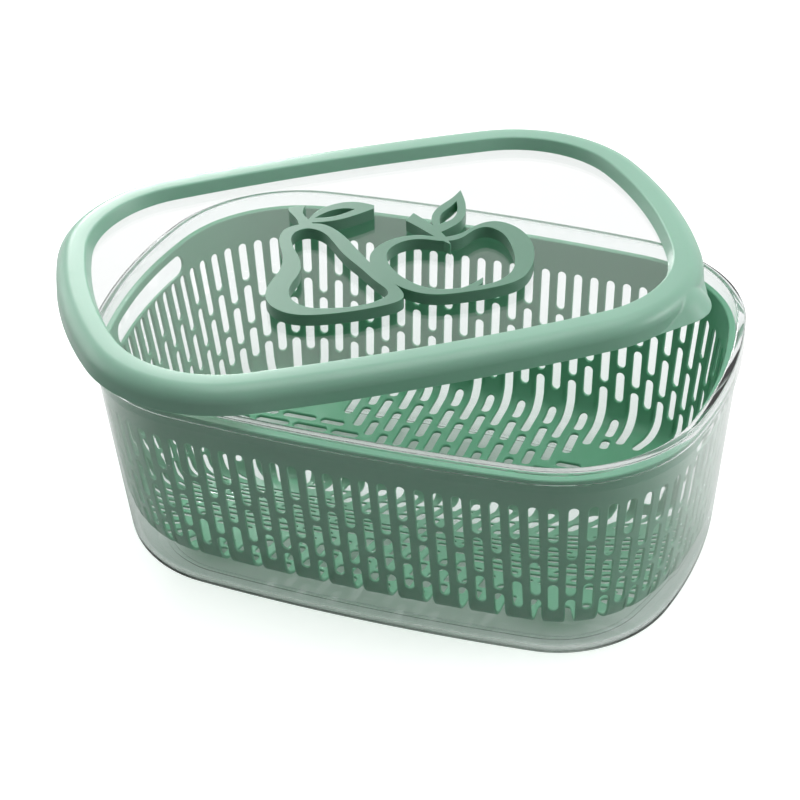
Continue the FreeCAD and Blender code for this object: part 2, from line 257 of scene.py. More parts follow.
# The columns of slots stand at even steps round the outline at one height.
COLUMNS, EVEN_Z = 96, 0.0994
EVEN_AT = INNER + DRAFT * (TOP - EVEN_Z)
HALF_SLOT, WEB = 0.0022, 0.0028
BAND_TOP, BAND_LOW, SLOT_TOP = LEDGE - 0.0002, 0.0935, 0.093
LONG_WRAP, CORNER_WRAP, SHORT_WRAP = 0.015, 0.009, 0.0048
GRIPS, GRIP_REACH = (COLUMNS // 4, 3 * COLUMNS // 4), 5.0
NEAR_MIDDLE = 0.13
ACROSS = np.array([-0.5, -NEAR_MIDDLE, 0, NEAR_MIDDLE, 0.5])
CAPS = np.radians([30, 60, 90, 120, 150])


def on_wall(length, depth):
    """Inset and height at a length down the inner face, and at a depth into the wall.
    The face is a drafted line, then a round, then the flat floor."""
    line = np.minimum(length, STRAIGHT)
    turn = LEAN + np.clip(length - STRAIGHT, 0, WALL_END - STRAIGHT) / ROUND
    flat = np.maximum(length - WALL_END, 0)
    on_line = length <= STRAIGHT
    inset = np.where(on_line, INNER + line * math.sin(LEAN), ROUND_IN - ROUND * np.cos(turn)) + flat
    z = np.where(on_line, TOP - line * math.cos(LEAN), ROUND_Z - ROUND * np.sin(turn))
    return inset - depth * np.cos(turn), z - depth * np.sin(turn)


def down(z):
    """Length down the wall's inner face to a height, on the drafted line or on the round below it."""
    z = np.asarray(z, float)
    on_round = (np.arcsin(np.clip((ROUND_Z - z) / ROUND, -1, 1)) - LEAN) * ROUND + STRAIGHT
    return np.where(z > ROUND_Z - ROUND * math.sin(LEAN), (TOP - z) / math.cos(LEAN), on_round)


def slot_template(sides, open_end):
    """The loop of a round-ended slot and of the cell round it, as shares. Each row is the slot point's place
    across, its end (-1 or 1, 0 between), its push along by half widths, its share between the ends, and the
    cell point's place across."""
    share = np.linspace(0, 1, sides + 1)
    ones, ends = np.ones(sides + 1), np.ones(len(CAPS))
    left = np.stack([-ones, 0 * ones, 0 * ones, 1 - share, -0.5 * ones], 1)
    upper = np.stack([-np.cos(CAPS), -ends, -np.sin(CAPS), 0 * ends, ACROSS], 1)
    right = np.stack([ones, 0 * ones, 0 * ones, share, 0.5 * ones], 1)
    lower = np.stack([np.cos(CAPS), ends, np.sin(CAPS), ends, -ACROSS], 1)
    return np.vstack([left, upper, right] + ([] if open_end else [lower]))


def slot_cells(column, start, end, cell_start, cell_end, sides, open_end=False):
    """Wall cells with one slot each: inner face, outer face and the slot's own walls.
    Slot points go straight off the column's line, and cell points follow the outline."""
    row = slot_template(sides, open_end)
    column = np.asarray(column, float)[:, None]
    start, end, cell_start, cell_end = [float(v) + 0 * column for v in (start, end, cell_start, cell_end)]
    first, last = start + HALF_SLOT, end if open_end else end - HALF_SLOT
    along = first + (last - first) * row[:, 3] + HALF_SLOT * row[:, 2]
    cell_along = np.where(row[:, 1] == 0, along, np.where(row[:, 1] < 0, cell_start, cell_end))
    rings = []
    for depth in (0.0, WALL):
        inset, z = on_wall(along, depth)
        x, y, turn = around(column / COLUMNS, inset, EVEN_AT)
        aside = HALF_SLOT * row[:, 0]
        rings.append(np.stack([x + aside * np.sin(turn), y - aside * np.cos(turn), z + 0 * x], -1))
        inset, z = on_wall(cell_along, depth)
        x, y, _ = around((column + row[:, 4]) / COLUMNS, inset, EVEN_AT)
        rings.append(np.stack([x, y, z + 0 * x], -1))
    count, n = column.shape[0], len(row)
    points = np.stack(rings, 1).reshape(-1, 3)
    k = np.arange(n - 1 if open_end else n)
    k2 = (k + 1) % n
    quads = np.concatenate([
        np.stack([k, k2, n + k2, n + k], 1),
        np.stack([2 * n + k, 3 * n + k, 3 * n + k2, 2 * n + k2], 1),
        np.stack([k, 2 * n + k, 2 * n + k2, k2], 1),
    ])
    faces = (quads[None] + 4 * n * np.arange(count)[:, None, None]).reshape(-1, 4)
    return points, faces


def grip_cells():
    """The two end bands with a long round-ended grip hole each: a slot lying along the outline.
    The hole is a straight run with half-round ends, bent about the end arc's centre."""
    half, radius, middle_z = 0.037, 0.005, 0.0995
    steps, cap_steps = 16, 8
    share = np.linspace(-1, 1, steps + 1)
    level = np.ones(steps + 1)
    caps = np.radians(np.linspace(0, 180, cap_steps + 1)[1:-1])
    reach = half - radius
    hole_u = np.concatenate([reach * share, reach + radius * np.sin(caps), reach * share[::-1],
                             -reach - radius * np.sin(caps)])
    hole_z = radius * np.concatenate([level, np.cos(caps), -level, -np.cos(caps)])
    edge = np.interp(caps, np.radians([0, 60, 120, 180]), [1, 1, -1, -1])
    ends = np.full(len(caps), GRIP_REACH)
    cell_u = np.concatenate([(GRIP_REACH - 1) * share, ends, (GRIP_REACH - 1) * share[::-1], -ends])
    cell_v = np.concatenate([level, edge, -level, -edge])
    cell_z = BAND_LOW + (BAND_TOP - BAND_LOW) * (cell_v + 1) / 2
    n = len(hole_u)
    k = np.arange(n)
    k2 = (k + 1) % n
    faces = np.concatenate([
        np.stack([k, n + k, n + k2, k2], 1)[:, ::-1],
        np.stack([2 * n + k, 3 * n + k, 3 * n + k2, 2 * n + k2], 1),
        np.stack([k, 2 * n + k, 2 * n + k2, k2], 1),
    ])
    parts = []
    for column in GRIPS:
        centre_x, _, end_radius = ARCS_OF[column, :3]
        middle = around(column / COLUMNS, 0.0, EVEN_AT)[2]
        angle = middle - hole_u / (end_radius - EVEN_AT)
        rings = []
        for depth in (0.0, WALL):
            inset, z = on_wall(down(middle_z + hole_z), depth)
            reach_in = end_radius - inset
            rings.append(np.stack([centre_x + reach_in * np.cos(angle), reach_in * np.sin(angle), z], -1))
            inset, z = on_wall(down(cell_z), depth)
            x, y, _ = around((column + cell_u) / COLUMNS, inset, EVEN_AT)
            rings.append(np.stack([x, y, z], -1))
        parts.append((np.concatenate(rings), faces))
    return parts


def inside_loop(x, y, loop):
    """Which points lie inside a closed loop, by counting the sides that a ray from each crosses."""
    ax, ay = loop[:, 0], loop[:, 1]
    bx, by = np.roll(ax, -1), np.roll(ay, -1)
    over = (ay[None] > y[:, None]) != (by[None] > y[:, None])
    cross = ax[None] + (y[:, None] - ay[None]) * (bx - ax)[None] / np.where(by == ay, 1e-12, by - ay)[None]
    return (over & (x[:, None] < cross)).sum(1) % 2 == 1


def plate(shapes, low, high, open_edge=None):
    """A flat plate: the union of shapes, each an outer loop without its holes, as top, underside and walls.
    Walls stand on the edges that only one kept triangle has, apart from those between points of open_edge."""
    loops = [loop for outer, holes in shapes for loop in [outer] + holes]
    flat = np.concatenate(loops)
    starts = np.cumsum([0] + [len(loop) for loop in loops])
    edges = np.concatenate([
        np.stack([s + np.arange(len(l)), s + (np.arange(len(l)) + 1) % len(l)], 1)
        for s, l in zip(starts, loops)
    ])
    found = delaunay_2d_cdt([Vector(p) for p in flat.tolist()], edges.tolist(), [], 0, 1e-7)
    xy = np.array([tuple(v) for v in found[0]])
    tris = np.array([f for f in found[2]])
    x, y = xy[tris].mean(1).T
    keep = np.zeros(len(tris), bool)
    for outer, holes in shapes:
        own = inside_loop(x, y, outer)
        for hole in holes:
            own &= ~inside_loop(x, y, hole)
        keep |= own
    tris = tris[keep]
    a, b, c = xy[tris[:, 0]], xy[tris[:, 1]], xy[tris[:, 2]]
    turn = (b[:, 0] - a[:, 0]) * (c[:, 1] - a[:, 1]) - (b[:, 1] - a[:, 1]) * (c[:, 0] - a[:, 0])
    tris = np.where(turn[:, None] > 0, tris, tris[:, ::-1])
    sides = np.concatenate([tris[:, [0, 1]], tris[:, [1, 2]], tris[:, [2, 0]]])
    _, first, count = np.unique(np.sort(sides, 1), axis=0, return_index=True, return_counts=True)
    rim = sides[first[count == 1]]
    if open_edge is not None:
        gap = np.hypot(*(xy[:, None] - open_edge[None]).transpose(2, 0, 1)).min(1)
        rim = rim[~((gap[rim] < 2e-6).all(1))]
    n = len(xy)
    walls = np.stack([rim[:, 0], rim[:, 0] + n, rim[:, 1] + n, rim[:, 1]], 1)
    both = np.vstack([np.column_stack([xy, np.full(n, high)]), np.column_stack([xy, np.full(n, low)])])
    return [(both, tris), (both, tris[:, ::-1] + n), (both, walls)]


def stadium(x, y, half_long, along_x):
    """A round-ended slot outline on the floor, with six short sides to each end."""
    turn = np.radians(np.arange(15, 375, 30))
    reach = HALF_SLOT / math.cos(math.radians(15))
    long_way = np.where(np.cos(turn) > 0, 1, -1) * (half_long - HALF_SLOT) + reach * np.cos(turn)
    short_way = reach * np.sin(turn)
    return np.stack([x + long_way, y + short_way] if along_x else [x - short_way, y + long_way], 1)


def basket_wall_cells():
    """The three or four slots of each column: even columns have long ones, odd columns shorter ones.
    The lowest slot runs over the round on to the floor, but odd columns at the corners stay plain there."""
    index = np.arange(COLUMNS)
    even, odd = index[index % 2 == 0], index[index % 2 == 1]
    long_slots, short_slots = (0.031, 0.0204), (0.0204, 0.0214, 0.0164)
    last_cell, wrap_from = 0.0222, 0.0208
    cells = []
    level, cell_top = SLOT_TOP, BAND_LOW
    for tall in long_slots:
        low = level - tall
        cells.append(slot_cells(even, down(level), down(low), down(cell_top), down(low - WEB / 2), 1))
        cell_top, level = low - WEB / 2, low - WEB
    cells.append(slot_cells(even, down(level), WALL_END, down(cell_top), WALL_END, 9, open_end=True))
    level, cell_top = SLOT_TOP, BAND_LOW
    for number, tall in enumerate(short_slots):
        low = level - tall
        last = number == len(short_slots) - 1
        stop = last_cell if last else low - WEB / 2
        cells.append(slot_cells(odd, down(level), down(low), down(cell_top), down(stop), 2 if last else 1))
        cell_top, level = stop, low - WEB
    wrapped, plain = odd[~ON_CORNER[odd]], odd[ON_CORNER[odd]]
    cells.append(slot_cells(wrapped, down(wrap_from), WALL_END, down(cell_top), WALL_END, 4, open_end=True))
    steps = np.linspace(down(cell_top), WALL_END, 5)
    quads = grid_faces(len(steps), len(ACROSS), False, False)
    faces = (quads[None] + len(steps) * len(ACROSS) * np.arange(len(plain))[:, None, None]).reshape(-1, 4)
    for depth in (0.0, WALL):
        inset, z = on_wall(steps[None, :, None], depth)
        x, y, _ = around((plain[:, None, None] + ACROSS) / COLUMNS, inset, EVEN_AT)
        points = np.stack([x, y, z + 0 * x], -1)
        cells.append((points.reshape(-1, 3), faces[:, ::-1] if depth == 0 else faces))
    return cells


def columns_on_arcs():
    """The arc that each column stands on."""
    spans = (ARCS[:, 2] - EVEN_AT) * (ARCS[:, 3] - ARCS[:, 4])
    ends = np.cumsum(spans)
    walked = np.arange(COLUMNS) / COLUMNS * ends[-1]
    return ARCS[np.minimum(np.searchsorted(ends, walked + 1e-9, side="right"), len(ARCS) - 1)]


ARCS_OF = columns_on_arcs()
ON_CORNER, ON_SIDE = ARCS_OF[:, 2] < 0.1, ARCS_OF[:, 2] > 1.0


def basket_floor():
    """The flat floor: notches where wall slots wrap on to it, and rows of slots in line with the columns.
    Each row starts a web beyond its column's notch and ends at the seam, where the two ways of rows meet."""
    is_even = np.arange(COLUMNS) % 2 == 0
    even_reach = np.where(ON_CORNER, CORNER_WRAP, LONG_WRAP)
    reaches = np.where(is_even, even_reach, np.where(ON_CORNER, 0, SHORT_WRAP))
    outer, open_edge = [], []
    for index, reach in enumerate(reaches):
        x, y, turn = around(index / COLUMNS, ROUND_IN, EVEN_AT)
        out = np.array([np.cos(turn), np.sin(turn)])
        side = np.array([np.sin(turn), -np.cos(turn)])
        shares = ACROSS[[0, -1]] if reach else ACROSS
        edge = np.stack(around((index + shares) / COLUMNS, ROUND_IN, EVEN_AT)[:2], 1)
        outer.append(edge[:-1])
        open_edge.append(edge)
        if reach:
            straight = reach - HALF_SLOT
            across = np.concatenate([[-1, -1], -np.cos(CAPS), [1, 1]]) * HALF_SLOT
            deep = np.concatenate([[0, straight], straight + HALF_SLOT * np.sin(CAPS), [straight, 0]])
            notch = np.array([x, y]) - out * deep[:, None] + side * across[:, None]
            outer.append(notch)
            open_edge.append(notch[[0, -1]])
    quarter = COLUMNS // 4
    pitch, shortest, most = 0.0208, 0.0065, 8
    seam_slope, seam_gap = 0.72, 0.003
    holes = []
    for index in range(-quarter + 1, quarter):
        for along_x, place in ((False, index % COLUMNS), (True, (quarter + index) % COLUMNS)):
            if ON_CORNER[place] or not (along_x or ON_SIDE[place]):
                continue
            wall_x, wall_y, _ = around(place / COLUMNS, ROUND_IN, EVEN_AT)
            far_x, far_y, _ = around(place / COLUMNS, ROUND_IN + WEB + reaches[place], EVEN_AT)
            across, far = (wall_y, far_x) if along_x else (wall_x, far_y)
            seam = abs(across) * (1 / seam_slope if along_x else seam_slope) + seam_gap
            ends = far - pitch * np.arange(most)
            starts = np.maximum(ends - pitch + WEB, seam)
            kept = ends - starts >= shortest
            for start, end in zip(starts[kept], ends[kept]):
                for sign in (1, -1):
                    middle, half = sign * (start + end) / 2, (end - start) / 2
                    x, y = (middle, across) if along_x else (across, middle)
                    holes.append(stadium(x, y, half, along_x))
    return plate([(np.vstack(outer), holes)], FLOOR - WALL, FLOOR, np.vstack(open_edge))


def basket_rim():
    """The plain band over the slots with its flange, as an open section carried round the outline.
    The band's inner and outer sheets leave out the stretches that the grip holes' cells fill."""
    column = (np.arange(COLUMNS)[:, None] + ACROSS[:-1]).reshape(-1)
    turns = column / COLUMNS
    flange, soft, small, least = 0.0046, 0.0004, 0.0002, 0.0001
    low_in, low_out = [np.array(on_wall(down(BAND_LOW), depth)) for depth in (0.0, WALL)]
    high_in, high_out = [np.array(on_wall(down(BAND_TOP), depth)) for depth in (0.0, WALL)]
    upper = np.array([
        high_out, [high_out[0] - small, LEDGE],
        [flange, LEDGE], [flange, TOP - soft], [flange + soft, TOP],
        [INNER - soft, TOP], [INNER + least, TOP - soft], high_in,
    ])
    parts = [swept(upper, turns, closed=False, reference=EVEN_AT)]
    away = column[:, None] - np.array(GRIPS) + 0.01
    in_grip = ((away >= -GRIP_REACH) & (away < GRIP_REACH)).any(1)
    i = np.where(~in_grip)[0]
    i2 = (i + 1) % len(column)
    faces = np.stack([2 * i, 2 * i + 1, 2 * i2 + 1, 2 * i2], 1)
    for low, high, flip in ((low_in, high_in, True), (low_out, high_out, False)):
        section = np.stack([low, high])
        x, y, _ = around(turns[:, None], section[None, :, 0], EVEN_AT)
        z = np.broadcast_to(section[None, :, 1], x.shape)
        points = np.stack([x, y, z], -1).reshape(-1, 3)
        parts.append((points, faces[:, ::-1] if flip else faces))
    return parts


def moulded_group():
    """Colour, roughness and height of pigmented moulded plastic: cloudy pigment, fine texture, specks."""
    tree = bpy.data.node_groups.new("moulded_plastic", "ShaderNodeTree")
    face = tree.interface
    face.new_socket("Colour", in_out="INPUT", socket_type="NodeSocketColor")
    face.new_socket("Grain", in_out="INPUT", socket_type="NodeSocketFloat")
    face.new_socket("Colour", in_out="OUTPUT", socket_type="NodeSocketColor")
    face.new_socket("Roughness", in_out="OUTPUT", socket_type="NodeSocketFloat")
    face.new_socket("Height", in_out="OUTPUT", socket_type="NodeSocketFloat")
    given = tree.nodes.new("NodeGroupInput")
    result = tree.nodes.new("NodeGroupOutput")
    place = add_node(tree, "ShaderNodeTexCoord").outputs["Object"]
    cloud = add_node(tree, "ShaderNodeTexNoise", Vector=place, Scale=11.0, Detail=4.0, Roughness=0.55)
    cloud_shade = add_node(tree, "ShaderNodeMapRange", Value=cloud.outputs["Fac"], From_Min=0.3, From_Max=0.7,
                           To_Min=0.955, To_Max=1.045)
    speck = add_node(tree, "ShaderNodeTexVoronoi", Vector=place, Scale=900.0)
    speck_shade = add_node(tree, "ShaderNodeMapRange", Value=speck.outputs["Distance"], From_Min=0.0,
                           From_Max=0.5, To_Min=0.985, To_Max=1.01)
    shade = combined(tree, "MULTIPLY", cloud_shade.outputs["Result"], speck_shade.outputs["Result"])
    tinted = add_node(tree, "ShaderNodeVectorMath", operation="SCALE", Scale=shade)
    tree.links.new(given.outputs["Colour"], tinted.inputs[0])
    tree.links.new(tinted.outputs["Vector"], result.inputs["Colour"])
    scuff = add_node(tree, "ShaderNodeTexNoise", Vector=place, Scale=70.0, Detail=5.0, Roughness=0.65)
    rough = add_node(tree, "ShaderNodeMapRange", Value=scuff.outputs["Fac"], From_Min=0.3, From_Max=0.75,
                     To_Min=0.28, To_Max=0.44)
    tree.links.new(rough.outputs["Result"], result.inputs["Roughness"])
    texture = add_node(tree, "ShaderNodeTexNoise", Vector=place, Scale=1500.0, Detail=2.0)
    height = combined(tree, "MULTIPLY", texture.outputs["Fac"], given.outputs["Grain"])
    tree.links.new(height, result.inputs["Height"])
    return tree


def green_plastic(name, colour, grain, coat):
    """Satin pigmented plastic that light soaks into and passes a little, so its shadow is green."""
    material = bpy.data.materials.new(name)
    material.use_nodes = True
    tree = material.node_tree
    shader = tree.nodes["Principled BSDF"]
    group = tree.nodes.new("ShaderNodeGroup")
    group.node_tree = bpy.data.node_groups.get("moulded_plastic") or moulded_group()
    group.inputs["Colour"].default_value = (*colour, 1)
    group.inputs["Grain"].default_value = grain
    bump = add_node(tree, "ShaderNodeBump", Strength=0.25, Distance=0.0001, Height=group.outputs["Height"])
    tree.links.new(group.outputs["Colour"], shader.inputs["Base Color"])
    tree.links.new(group.outputs["Roughness"], shader.inputs["Roughness"])
    tree.links.new(bump.outputs["Normal"], shader.inputs["Normal"])
    shader.inputs["Specular IOR Level"].default_value = 0.35
    shader.inputs["Coat Weight"].default_value = coat
    shader.inputs["Coat Roughness"].default_value = 0.3
    shader.inputs["Subsurface Weight"].default_value = 0.4
    shader.inputs["Subsurface Radius"].default_value = (0.5, 1.0, 0.7)
    shader.inputs["Subsurface Scale"].default_value = 0.003
    path = tree.nodes.new("ShaderNodeLightPath")
    let_through(tree, shader, path.outputs["Is Shadow Ray"], (0.11, 0.50, 0.30))
    return material


basket = add_piece("basket", basket_wall_cells() + grip_cells() + basket_floor() + basket_rim(), smooth=35.0)
basket.data.materials.append(green_plastic("basket_green", (0.15, 0.375, 0.25), 1.0, 0.0))
edge = basket.modifiers.new("edge", "BEVEL")
edge.width, edge.segments, edge.limit_method, edge.angle_limit = 0.0005, 1, "ANGLE", math.radians(60)
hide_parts("basket")


# Lid frame. A broad rounded channel of the same green plastic that closes
# over the rim, with a recess for the window, a plug rib below it and a
# thumb lip flared out of the skirt at one corner. It lies askew on the rim.

LID_TURN = math.radians(35.0)
LID_PLACE = np.array([-0.0339, 0.0373, BIN_TOP])


def placed(points):
    """From the lid's own frame to its pose on the rim."""
    points = np.asarray(points, float)
    c, s = math.cos(LID_TURN), math.sin(LID_TURN)
    x, y, z = points.T
    turned = np.stack([c * x - s * y, s * x + c * y, z], 1)
    return turned + LID_PLACE


def lip_reach(angle):
    """How far the thumb lip's edge lies from the corner arc's centre, by the angle about that centre.
    The edge is a straight side, a quadratic curve round the tip and a straight end."""
    centre = ARCS[4, :2]
    crease, tip_from, tip, tip_to, end = np.array([
        [0.098, -0.1005], [0.127, -0.093], [0.1415, -0.089], [0.142, -0.073], [0.1475, -0.051],
    ])
    t = np.linspace(0, 1, 21)[:, None]
    side = crease * (1 - t) + tip_from * t
    corner = tip_from * (1 - t) ** 2 + 2 * tip * t * (1 - t) + tip_to * t ** 2
    back = tip_to * (1 - t) + end * t
    path = np.vstack([side, corner, back]) - centre
    turn = np.arctan2(path[:, 1], path[:, 0])
    return np.interp(angle, turn, np.hypot(path[:, 0], path[:, 1]))


def lid_frame_mesh():
    """Section of the channel carried round the outline; the skirt leans out to the lip below its crease."""
    over, tall, lean, shoulder = 0.0039, 0.0125, 0.0004, 0.0077
    skin, crest, crest_r, inner_edge = 0.002, 0.0103, 0.0012, 0.0135
    recess, leg = tall - 0.0063, 0.004
    plug, plug_thick, plug_low = 0.0049, 0.0022, tall - skin - 0.005
    soft, edge_in, edge_up = 0.0003, 0.0002, 0.0006
    c = (shoulder - over + lean, tall - shoulder)
    crest_c = (crest, tall - crest_r)
    rise = np.linspace(0, 1, 13)[:, None]
    outer_low, outer_high, inner_x = -over, c[0] - shoulder, c[0] - (shoulder - skin)
    outside = np.hstack([outer_low + (outer_high - outer_low) * rise, rise * c[1]])[1:-1]
    inside = np.hstack([inner_x + 0 * rise, (1 - rise) * c[1]])[1:-1]
    section = np.vstack([
        [[-over + soft, 0.0], [-over, soft]],
        outside,
        bend(c, shoulder, 180, 90, 16),
        bend(crest_c, crest_r, 90, 18, 5),
        [[inner_edge - edge_in, recess + edge_up], [inner_edge, recess]],
        [[inner_edge - leg, recess], [inner_edge - leg, tall - skin], [plug + plug_thick, tall - skin]],
        [[plug + plug_thick, plug_low], [plug, plug_low], [plug, tall - skin]],
        bend(c, shoulder - skin, 90, 180, 10),
        inside,
        [[inner_x, 0.0]],
    ])
    turns = np.arange(960) / 960
    x, y, _ = around(turns[:, None], section[None, :, 0])
    z = np.broadcast_to(section[None, :, 1], x.shape)
    lip_first, lip_last, lip_x, lip_y = math.radians(-78), math.radians(-10), 0.08, -0.03
    lip_fall, skirt_only = 0.007 / 0.008, 0.004
    corner_x, corner_y, corner_radius = ARCS[4, :3]
    polar = np.arctan2(y - corner_y, x - corner_x)
    near = (polar > lip_first) & (polar < lip_last) & (x > lip_x) & (y < lip_y)
    reach = lip_reach(polar) - (corner_radius + over) - lip_fall * z
    reach = np.where(near & (section[None, :, 0] < skirt_only), np.maximum(reach, 0), 0)
    points = np.stack([x + reach * np.cos(polar), y + reach * np.sin(polar), z], -1)
    return points.reshape(-1, 3), grid_faces(len(turns), len(section))


frame_points, frame_faces = lid_frame_mesh()
lid_frame = add_piece("lid_frame", [(placed(frame_points), frame_faces)], smooth=38.0)
lid_frame.data.materials.append(green_plastic("lid_green", (0.235, 0.435, 0.33), 0.8, 0.2))
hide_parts("lid_frame")


# Lid window. A flat pane of the clear plastic under the frame's inner
# edge, 2.2 mm thick with lightly broken edges.

def window_mesh():
    """A flat pane with the outline's shape."""
    inset, low, high, soft = 0.0098, 0.0040, 0.0062, 0.0003
    section = np.array([[inset + soft, low], [inset, low + soft], [inset, high - soft], [inset + soft, high]])
    parts = [swept(section, smooth_turns, closed=False)]
    parts.append(cap(inset + soft, high, smooth_turns, up=True))
    parts.append(cap(inset + soft, low, smooth_turns, up=False))
    return [(placed(points), faces) for points, faces in parts]


lid_window = add_piece("lid_window", window_mesh())
lid_window.data.materials.append(clear_plastic("clear_pane", (0.98, 0.992, 0.99), 0.01, 1.5))
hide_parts("lid_window")


# Fruit relief. A pear and an apple in broad outline, moulded in the green
# plastic as one plate of flat-topped bands with softly rounded edges that
# stands on the window. Its colour is painted shade: the frame's green at about half the brightness.

def smooth_curve(points, closed, steps=8):
    """A cubic spline through points by chord length, solved for its slopes, then sampled."""
    p = np.asarray(points, float) / 1000
    if closed:
        p = np.vstack([p, p[:1]])
    n = len(p)
    h = np.hypot(*np.diff(p, axis=0).T)
    if n == 2:
        return p[:-1]
    a = np.zeros((n, n))
    b = np.zeros((n, 2))
    slope = np.diff(p, axis=0) / h[:, None]
    i = np.arange(1, n - 1)
    a[i, i - 1], a[i, i], a[i, i + 1] = h[i], 2 * (h[i - 1] + h[i]), h[i - 1]
    b[i] = 3 * (h[i, None] * slope[i - 1] + h[i - 1, None] * slope[i])
    if closed:
        a[0, 0], a[0, 1], a[0, n - 2] = 2 * (h[0] + h[-1]), h[-1], h[0]
        b[0] = 3 * (h[-1] * slope[0] + h[0] * slope[-1])
        a[n - 1, n - 1], a[n - 1, 0] = 1, -1
    else:
        a[0, 0], a[0, 1], b[0] = 2, 1, 3 * slope[0]
        a[n - 1, n - 1], a[n - 1, n - 2], b[n - 1] = 2, 1, 3 * slope[-1]
    m = np.linalg.solve(a, b)
    t = np.linspace(0, 1, steps + 1)[None, :-1, None]
    p0, p1, m0, m1, hh = p[:-1, None], p[1:, None], m[:-1, None], m[1:, None], h[:, None, None]
    curve = ((1 + 2 * t) * (1 - t) ** 2 * p0 + t * (1 - t) ** 2 * hh * m0
             + t ** 2 * (3 - 2 * t) * p1 + t ** 2 * (t - 1) * hh * m1)
    return curve.reshape(-1, 2)


def loop_of_runs(runs):
    """A closed loop of smooth runs that meet at sharp points."""
    pieces = []
    for number, run in enumerate(runs):
        following = runs[(number + 1) % len(runs)]
        pieces.append(smooth_curve(run + [following[0]], False))
    return np.vstack(pieces)


def relief_mesh():
    """Each band as a flat plate between its loops, whose points are in millimetres in the lid's frame."""
    pear_outer = smooth_curve([(-28, 32), (-37, 31), (-43, 22), (-45, 6), (-50, -8), (-58, -20), (-61, -33),
                               (-54, -46), (-38, -52), (-12, -53), (0, -49), (0, -38), (-4, -24), (-8, -8),
                               (-11, 8), (-15, 22), (-21, 30)], True)
    pear_inner = smooth_curve([(-28, 27.5), (-34, 26), (-38, 18), (-38, 3), (-41, -12), (-48, -23), (-50, -33),
                               (-45, -43), (-33, -48), (-12, -48), (-6, -44), (-8, -32), (-12, -18),
                               (-16.5, -3), (-19, 12), (-23, 24)], True)
    pear_stem = loop_of_runs([[(-31.5, 29), (-31, 40), (-32, 50)],
                              [(-23.5, 50), (-26.5, 42), (-25, 29)]])
    pear_leaf = loop_of_runs([[(-27, 33), (-20, 42), (-10, 46.8), (1, 45.8)], [(9, 39.5)],
                              [(8, 36.5), (-2, 33), (-14, 31)]])
    pear_vein = loop_of_runs([[(-22, 36.5), (-13, 41), (-5, 41)], [(-1, 38.8), (-8, 36), (-15, 35)]])
    apple_outer = smooth_curve([(33, -1), (23, 4), (12, 5), (2, 1), (-5, -7), (-6.5, -19), (-3, -31), (4, -43),
                                (14, -50.5), (28, -53), (44, -53), (57, -49.5), (66, -39), (71, -26),
                                (72, -13), (68.5, -1), (61, 6), (52, 5), (43, 0)], True)
    apple_inner = smooth_curve([(33, -5), (22, 0.5), (11, 0), (4, -6), (1.5, -16), (3, -27), (8, -38),
                                (16, -46), (28, -49), (44, -49), (54, -43), (60, -31), (62, -17),
                                (60.5, -4), (55, 2), (48, 0), (40, -5)], True)
    apple_tail = loop_of_runs([[(24, -50), (33, -47.5)], [(40.5, -43), (39, -47), (34, -50.5)]])
    apple_stem = loop_of_runs([[(34.5, -9), (29, 1), (25, 10)], [(20, 20)], [(25.5, 26), (31, 12), (34, 0)]])
    apple_leaf = loop_of_runs([[(31.5, 3), (32.5, 18), (39, 28), (47, 34)], [(54, 41), (52.5, 27), (46, 12)]])
    apple_vein = loop_of_runs([[(35, 11.5), (38, 20.5), (44, 26)], [(49, 31), (47, 22.5), (42, 14.5)]])
    low, high = 0.0062, 0.0122
    shapes = [(pear_outer, [pear_inner]), (pear_stem, []), (pear_leaf, [pear_vein]),
              (apple_outer, [apple_inner]), (apple_tail, []), (apple_stem, []), (apple_leaf, [apple_vein])]
    return [(placed(points), faces) for points, faces in plate(shapes, low, high)]


fruit_relief = add_piece("fruit_relief", relief_mesh(), smooth=50.0)
# Painted shade: the relief gets the frame's green at about half brightness, to darken the bands.
fruit_relief.data.materials.append(green_plastic("relief_green_painted_shade", (0.118, 0.25, 0.176), 0.8, 0.1))
soften = fruit_relief.modifiers.new("soften", "BEVEL")
soften.width, soften.segments, soften.limit_method, soften.angle_limit = 0.0008, 3, "ANGLE", math.radians(55)
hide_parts("fruit_relief")


# Ground. A white paper sweep, matt and slightly fibrous. The object stands
# on it and leaves a soft shadow, and clear plastic mirrors it less in front.

